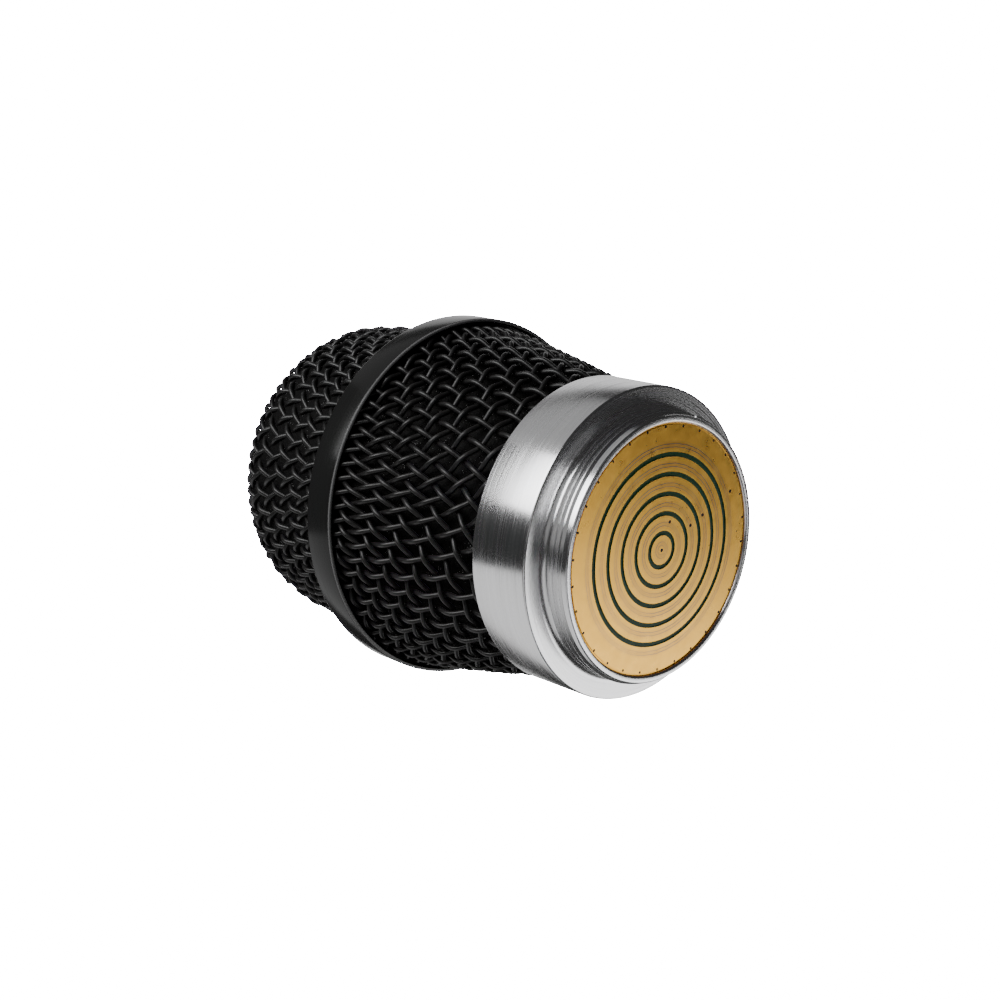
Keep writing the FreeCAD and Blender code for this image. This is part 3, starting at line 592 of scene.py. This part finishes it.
def foam_lining(name, outer, inner, replaced):
    """A thin turned lining whose faces are drawn in by shallow uneven hollows."""
    lining = turned(name, outer + inner[::-1], FOAM_STEPS)
    pick(lining)
    bpy.ops.object.mode_set(mode="EDIT")
    mesh = bmesh.from_edit_mesh(lining.data)
    depths = [FOAM_HOLLOW * (1 + noise.noise(vert.co * FOAM_GRAIN)) * MM for vert in mesh.verts]
    for vert, depth in zip(mesh.verts, depths):
        vert.co -= vert.normal * depth
    bmesh.update_edit_mesh(lining.data)
    bpy.ops.object.mode_set(mode="OBJECT")
    smooth(lining, SOFT_CREASE)
    fit(lining, foam, replaced)


def make_foam_sleeve():
    """The barrel's lining."""
    (foot, low), (top, high) = SLEEVE_FOOT, SLEEVE_TOP
    rows = [index / SLEEVE_ROWS for index in range(SLEEVE_ROWS + 1)]
    outer = [(foot + (top - foot) * row, low + (high - low) * row) for row in rows]
    inner = [(radius - FOAM, height) for radius, height in outer]
    foam_lining("foam_sleeve", outer, inner, "lower_foam")


def make_foam_cup():
    """The dome's lining; its last row ends just short of the axis."""
    outer, inner = [], []
    for row in [index / CUP_ROWS for index in range(CUP_ROWS)] + [CUP_LAST_ROW]:
        radius, height, lean = dome_point(DOME_LENGTH * (1 - row))
        for corners, inset in ((outer, CUP_INSET), (inner, CUP_INSET + FOAM)):
            corners.append((max(0.0, radius - inset * math.cos(lean)),
                            height - inset * math.sin(lean)))
    foam_lining("foam_cup", outer, inner, "upper_foam")


# ---- collar ----

def thread_ridge():
    """A helical ridge with its ends run out, cut down by the lead-in chamfer."""
    section = ((THREAD_ROOT, 0), (THREAD_CREST, FLANK), (THREAD_CREST, FLANK + CREST_FLAT),
               (THREAD_ROOT, 2 * FLANK + CREST_FLAT))
    ridge = outlined("thread_ridge", [(radius, THREAD_START + level) for radius, level in section])
    bpy.ops.object.mode_set(mode="OBJECT")
    modify(ridge, "SCREW", angle=TURN, screw_offset=THREAD_PITCH * MM, iterations=THREAD_TURNS,
           steps=THREAD_STEPS, render_steps=THREAD_STEPS, use_merge_vertices=False)
    bpy.ops.object.mode_set(mode="EDIT")
    mesh = bmesh.from_edit_mesh(ridge.data)
    middle = THREAD_START + FLANK + CREST_FLAT / 2
    for vert in mesh.verts:
        radius = math.hypot(vert.co.x, vert.co.y) / MM
        height = vert.co.z / MM
        turned_by = (height - middle) / THREAD_PITCH * TURN
        run = min(turned_by, THREAD_TURNS * TURN - turned_by) / RUN_OUT
        limit = min(THREAD_CREST, LEAD_IN + height * LEAD_IN_SLOPE)
        share = max(RUN_LEAST, min(1.0, run + RUN_START))
        allowed = THREAD_ROOT + (limit - THREAD_ROOT) * share
        if radius > max(allowed, THREAD_ROOT + ROOT_MARGIN):
            vert.co.x *= allowed / radius
            vert.co.y *= allowed / radius
    bmesh.update_edit_mesh(ridge.data)
    bpy.ops.mesh.select_all(action="SELECT")
    bpy.ops.mesh.fill_holes(sides=4)
    bpy.ops.mesh.select_all(action="SELECT")
    bpy.ops.mesh.normals_make_consistent(inside=False)
    bpy.ops.object.mode_set(mode="OBJECT")
    smooth(ridge, THREAD_CREASE)
    return ridge


def make_collar():
    """The turned collar with the thread on its neck."""
    collar = turned("collar_turned", [
        (MOUTH + MOUTH_CHAMFER, 0), (LEAD_IN, 0), (NECK, LEAD_IN_END), (NECK, NECK_START),
        *arc((NECK + FILLET, SHOULDER - FILLET), FILLET, 180, 90, 8),
        *arc((COLLAR_OUTSIDE - FRONT_EDGE, SHOULDER + FRONT_EDGE), FRONT_EDGE, 270, 360, 5),
        *arc((COLLAR_OUTSIDE - REAR_EDGE, COLLAR_REAR - REAR_EDGE), REAR_EDGE, 0, 90, 3),
        (SLOT_OUTSIDE, COLLAR_REAR), (SLOT_OUTSIDE, SLOT_FLOOR), (SLOT_INSIDE, SLOT_FLOOR),
        (SLOT_INSIDE, LEDGE), (BORE, LEDGE), (BORE, BOARD_REAR), (MOUTH, BOARD_REAR),
        (MOUTH, MOUTH_CHAMFER),
    ], METAL_STEPS)
    break_edges(collar, COLLAR_ROUNDING)
    smooth(collar, METAL_CREASE)
    ridge = thread_ridge()
    pick(collar)
    ridge.select_set(True)
    bpy.ops.object.join()
    fit(collar, silver, "collar")


# ---- band ----

def make_band():
    """The ring between the grilles, with the web that both stand against."""
    middle = BAND_OUTSIDE - BAND_EDGE
    band = turned("band_turned", [
        (BARREL_SEAT, BAND_FRONT),
        *arc((middle, BAND_FRONT + BAND_EDGE), BAND_EDGE, 270, 360, 5),
        *arc((middle, BAND_REAR - BAND_EDGE), BAND_EDGE, 0, 90, 5),
        (DOME_SEAT, BAND_REAR), (DOME_SEAT, WEB_TOP), (WEB_INSIDE, WEB_TOP),
        (WEB_INSIDE, WEB_BOTTOM), (BARREL_SEAT, WEB_BOTTOM),
    ], METAL_STEPS)
    break_edges(band, BAND_ROUNDING)
    smooth(band, METAL_CREASE)
    fit(band, band_black, "band")


# ---- studio ----

# the camera's own axes, its place and its lens
RIGHT = Vector((0.2642, 0.6851, -0.6789))
UP = Vector((0.9645, -0.1877, 0.1860))
BACK = Vector((0.0, -0.7039, -0.7103))
EYE = Vector((0.66, -146.8, -120.5)) * MM
LENS = 59.79

# the world's glow behind the object, and its dim glow elsewhere
WHITE_GLOW, DIM_GLOW = 40, 0.035

# what the panels point at, how far from it they hang, in metres, and how near to the camera's
# line of sight they are lined up with its right instead
AIM = Vector((0, 0, 25)) * MM
PANEL_DISTANCE = 0.4
NEAR_SIGHT = 0.3

# a panel's direction as the camera sees it (right, down, away), its angle round the camera's
# line of sight and along it in degrees, and its glow
PANELS = (
    ("key_left", -0.80, -0.53, -0.27, 34, 30, 6.0),
    ("key_front_left", -0.57, -0.54, -0.61, 34, 34, 7.0),
    ("top_soft", -0.40, -0.90, 0.15, 40, 50, 0.4),
    ("paper_behind", 0.0, -0.2, 1.0, 62, 62, 1.1),
    ("lower_left", -0.66, 0.70, 0.25, 62, 56, 1.05),
    ("lower_front", -0.25, 0.75, -0.62, 40, 50, 0.8),
    ("lower_right", 0.83, 0.557, 0.05, 33, 50, 2.6),
    ("front_card", 0.05, -0.08, -1.0, 38, 42, 0.3),
)


def make_camera():
    """The camera that the photograph was taken with, as far as it could be solved."""
    bpy.ops.object.camera_add(location=EYE)
    camera = bpy.context.object
    axes = Matrix((RIGHT, UP, BACK)).transposed().to_4x4()
    camera.matrix_world = Matrix.Translation(EYE) @ axes
    camera.data.lens = LENS
    camera.data.sensor_width = 36
    camera.data.clip_start = 0.01
    bpy.context.scene.camera = camera


def panel_side(degrees):
    """How wide a panel is that fills an angle."""
    return 2 * PANEL_DISTANCE * math.tan(math.radians(degrees) / 2)


def softbox(name, across, down, away, sweep, deep, glow):
    """A glowing panel that faces what it lights."""
    toward = (RIGHT * across - UP * down - BACK * away).normalized()
    along = -BACK - toward * toward.dot(-BACK)
    if along.length < NEAR_SIGHT:
        along = RIGHT - toward * toward.dot(RIGHT)
    along.normalize()
    basis = Matrix((along, toward.cross(along), toward)).transposed().to_4x4()
    bpy.ops.object.light_add(type="AREA")
    light = bpy.context.object
    light.name = name
    light.matrix_world = Matrix.Translation(AIM + toward * PANEL_DISTANCE) @ basis
    light.data.shape = "RECTANGLE"
    light.data.size = panel_side(deep)
    light.data.size_y = panel_side(sweep)
    light.data.energy = glow * math.pi * light.data.size * light.data.size_y


def make_world():
    """White where the camera looks past the object, and dim for everything else."""
    world = bpy.data.worlds.new("white_studio")
    world.use_nodes = True
    bpy.context.scene.world = world
    tree = world.node_tree
    tree.nodes.clear()
    output = tree.nodes.new("ShaderNodeOutputWorld")
    mix = tree.nodes.new("ShaderNodeMixShader")
    rays = tree.nodes.new("ShaderNodeLightPath")
    dim = tree.nodes.new("ShaderNodeBackground")
    white = tree.nodes.new("ShaderNodeBackground")
    dim.inputs["Color"].default_value = (DIM_GLOW, DIM_GLOW, DIM_GLOW, 1)
    white.inputs["Color"].default_value = (1, 1, 1, 1)
    white.inputs["Strength"].default_value = WHITE_GLOW
    tree.links.new(rays.outputs["Is Camera Ray"], mix.inputs[0])
    tree.links.new(dim.outputs[0], mix.inputs[1])
    tree.links.new(white.outputs[0], mix.inputs[2])
    tree.links.new(mix.outputs[0], output.inputs["Surface"])


def make_floor():
    """A pale floor that shows only from above, because the photograph looks up at the end face."""
    bpy.ops.mesh.primitive_plane_add(size=3)
    floor = bpy.context.object
    floor.name = "studio_floor"
    bpy.ops.object.mode_set(mode="EDIT")
    bpy.ops.mesh.subdivide(number_cuts=3)
    bpy.ops.object.mode_set(mode="OBJECT")
    made = Finish("pale_floor", (0.78, 0.78, 0.77), 0.6)
    grain = made.noise(made.point, 60, 3)
    made.drive("Base Color", made.tint(grain, (0.79, 0.79, 0.78), (0.75, 0.75, 0.74)))
    mix = made.node("MixShader", {
        0: made.node("NewGeometry").outputs["Backfacing"],
        1: made.shader.outputs[0],
        2: made.node("BsdfTransparent").outputs[0],
    })
    output = made.tree.nodes["Material Output"]
    made.tree.links.new(mix.outputs[0], output.inputs["Surface"])
    floor.data.materials.append(made.material)
    floor.visible_shadow = False
    floor.visible_glossy = False
    floor.visible_diffuse = False
    floor.visible_transmission = False


make_camera()
make_world()
make_floor()
for panel in PANELS:
    softbox(*panel)

make_collar()
make_band()
make_foam_sleeve()
make_foam_cup()
woven("lower_weave", barrel_map, turn=math.radians(220.02), shift=(0.766, 0.64),
      low=10.85, high=33.9, reach=19, replaced="lower_grille")
woven("upper_weave", dome_map, turn=math.radians(223), shift=(0.5, 0.5),
      low=35.75, high=99.0, reach=20, replaced="upper_grille")

for name, finish in MADE_OF.items():
    NODES[name].data.materials.clear()
    NODES[name].data.materials.append(finish)
